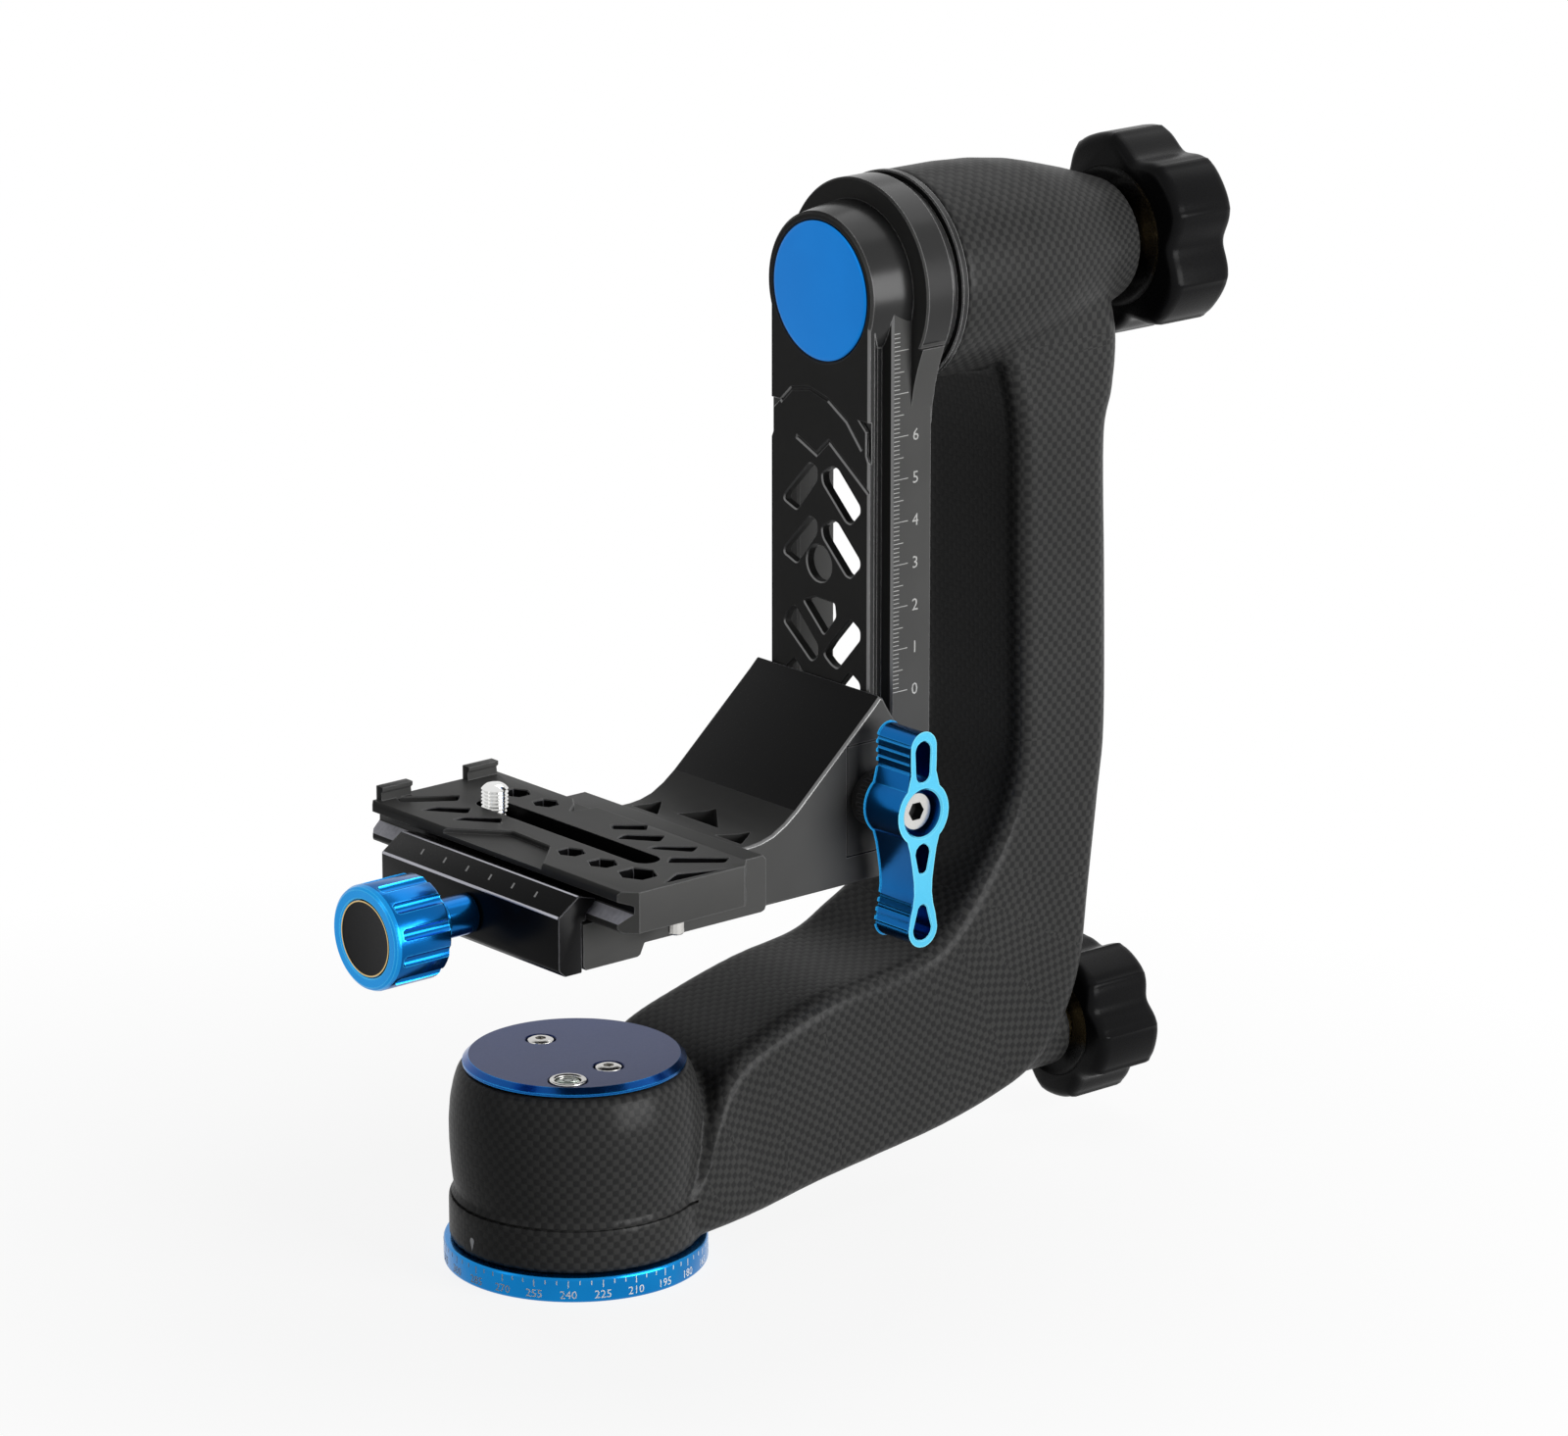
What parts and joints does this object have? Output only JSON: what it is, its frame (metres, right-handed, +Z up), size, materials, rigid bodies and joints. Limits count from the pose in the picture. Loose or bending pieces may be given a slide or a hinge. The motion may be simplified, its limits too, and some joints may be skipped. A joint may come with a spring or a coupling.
{
  "type": "gimbal tripod head",
  "caption": "Side-mount gimbal tripod head with a panning base, swept carbon arm, swinging rail, height-adjustable cradle and quick-release lens plate.",
  "frame": {"origin": "on the pan axis, in the plane of the base's underside, which sits on the tripod", "axes": "+Z up along the pan axis, +X from the pan axis towards the upright arm and along the tilt axis, Y along the lens plate's length"},
  "size_m": [0.2398, 0.0928, 0.2396],
  "materials": {
    "black_aluminium": "satin black anodised",
    "blue_aluminium": "blue anodised, glossy",
    "navy_aluminium": "dark blue anodised with a bright rim",
    "carbon": "carbon weave under satin lacquer",
    "badge_blue": "flat blue enamel",
    "stainless": "turned and brushed",
    "brass": "turned",
    "rubber": "moulded matt",
    "black_plastic": "moulded satin",
    "glass": "clear"
  },
  "bodies": {
    "base": {"base_plate": "black_aluminium", "thread_insert": "stainless", "pan_dial": "blue_aluminium", "pan_spindle": "stainless", "base_screw_1": "stainless", "base_screw_2": "stainless", "base_screw_3": "stainless", "pan_nut": "stainless"},
    "arm": {"carbon_arm": "carbon", "pan_sleeve": "black_aluminium", "pan_bearing_lower": "stainless", "pan_bearing_upper": "stainless", "pan_cap": "navy_aluminium", "cap_screw_1": "stainless", "cap_screw_2": "stainless", "level_ring": "stainless", "level_vial": "glass", "tilt_sleeve": "black_aluminium", "tilt_bearing_front": "stainless", "tilt_bearing_rear": "stainless", "pan_lock_bush": "black_aluminium"},
    "pan_clamp": {"pan_brake_shoe": "brass"},
    "pan_knob": {"pan_knob": "rubber", "pan_knob_insert": "brass", "pan_knob_cap": "black_plastic", "pan_lock_rod": "stainless"},
    "swing_arm": {"swing_rail": "black_aluminium", "tilt_shaft": "stainless", "thrust_washer": "black_plastic", "hub_screw_1": "stainless", "hub_screw_2": "stainless", "hub_screw_3": "stainless", "badge_disc": "badge_blue", "rail_stop_screw": "stainless"},
    "tilt_clamp": {"tilt_brake_washer": "stainless"},
    "tilt_knob": {"tilt_knob": "rubber", "tilt_knob_insert": "brass", "tilt_knob_cap": "black_plastic"},
    "cradle": {"cradle_bracket": "black_aluminium", "clamp_base": "black_aluminium", "bracket_screw_1": "stainless", "bracket_screw_2": "stainless"},
    "rail_jaw": {"rail_jaw": "black_aluminium"},
    "rail_lever": {"rail_lever": "blue_aluminium", "lever_boss": "black_aluminium", "lever_screw": "stainless"},
    "clamp_jaw": {"clamp_jaw": "black_aluminium", "clamp_guide_pin_1": "stainless", "clamp_guide_pin_2": "stainless"},
    "clamp_knob": {"clamp_knob": "blue_aluminium", "clamp_screw": "stainless", "clamp_knob_disc": "black_plastic"},
    "lens_plate": {"lens_plate": "black_aluminium", "plate_stop_pin_1": "stainless", "plate_stop_pin_2": "stainless"},
    "screw_carrier": {"screw_carrier": "black_aluminium"},
    "camera_screw": {"camera_screw": "stainless"}
  },
  "joints": [
    {"name": "pan", "type": "hinge", "parent": "base", "child": "arm", "pos_m": [0, 0, 0], "axis": [0, 0, 1], "continuous": true},
    {"name": "tilt", "type": "hinge", "parent": "arm", "child": "swing_arm", "pos_m": [0, 0, 0.2148], "axis": [1, 0, 0], "continuous": true},
    {"name": "pan_clamp_slide", "type": "slide", "parent": "arm", "child": "pan_clamp", "axis": [1, 0, 0], "range_m": [0, 0.001]},
    {"name": "pan_knob_turn", "type": "hinge", "parent": "arm", "child": "pan_knob", "pos_m": [0.156, 0, 0.0237], "axis": [1, 0, 0], "range_deg": [0, 360]},
    {"name": "tilt_clamp_slide", "type": "slide", "parent": "swing_arm", "child": "tilt_clamp", "axis": [1, 0, 0], "range_m": [0, 0.0015]},
    {"name": "tilt_knob_turn", "type": "hinge", "parent": "tilt_clamp", "child": "tilt_knob", "pos_m": [0.172, 0, 0.2148], "axis": [1, 0, 0], "range_deg": [0, 360]},
    {"name": "cradle_slide", "type": "slide", "parent": "swing_arm", "child": "cradle", "axis": [0, 0, 1], "range_m": [0, 0.07]},
    {"name": "rail_jaw_slide", "type": "slide", "parent": "cradle", "child": "rail_jaw", "axis": [0, -1, 0], "range_m": [0, 0.001]},
    {"name": "rail_lever_turn", "type": "hinge", "parent": "rail_jaw", "child": "rail_lever", "pos_m": [0.0698, -0.03, 0.101], "axis": [0, -1, 0], "range_deg": [0, 360]},
    {"name": "clamp_jaw_slide", "type": "slide", "parent": "cradle", "child": "clamp_jaw", "axis": [-1, 0, 0], "range_m": [0, 0.005]},
    {"name": "clamp_knob_turn", "type": "hinge", "parent": "clamp_jaw", "child": "clamp_knob", "pos_m": [-0.0515, 0, 0.0885], "axis": [-1, 0, 0], "range_deg": [0, 1440]},
    {"name": "lens_plate_slide", "type": "slide", "parent": "cradle", "child": "lens_plate", "axis": [0, 1, 0], "range_m": [-0.006, 0.006]},
    {"name": "screw_carrier_slide", "type": "slide", "parent": "lens_plate", "child": "screw_carrier", "axis": [0, 1, 0], "range_m": [-0.052, 0]},
    {"name": "camera_screw_turn", "type": "hinge", "parent": "screw_carrier", "child": "camera_screw", "pos_m": [-0.00155, 0.0262, 0.1019], "axis": [0, 0, 1], "continuous": true}
  ],
  "couplings": [
    {"joint": "pan_clamp_slide", "follows": "pan_knob_turn", "m_per_rad": 0.00015915},
    {"joint": "tilt_clamp_slide", "follows": "tilt_knob_turn", "m_per_rad": 0.00023873},
    {"joint": "rail_jaw_slide", "follows": "rail_lever_turn", "m_per_rad": 0.00015915},
    {"joint": "clamp_jaw_slide", "follows": "clamp_knob_turn", "m_per_rad": 0.00019894}
  ]
}
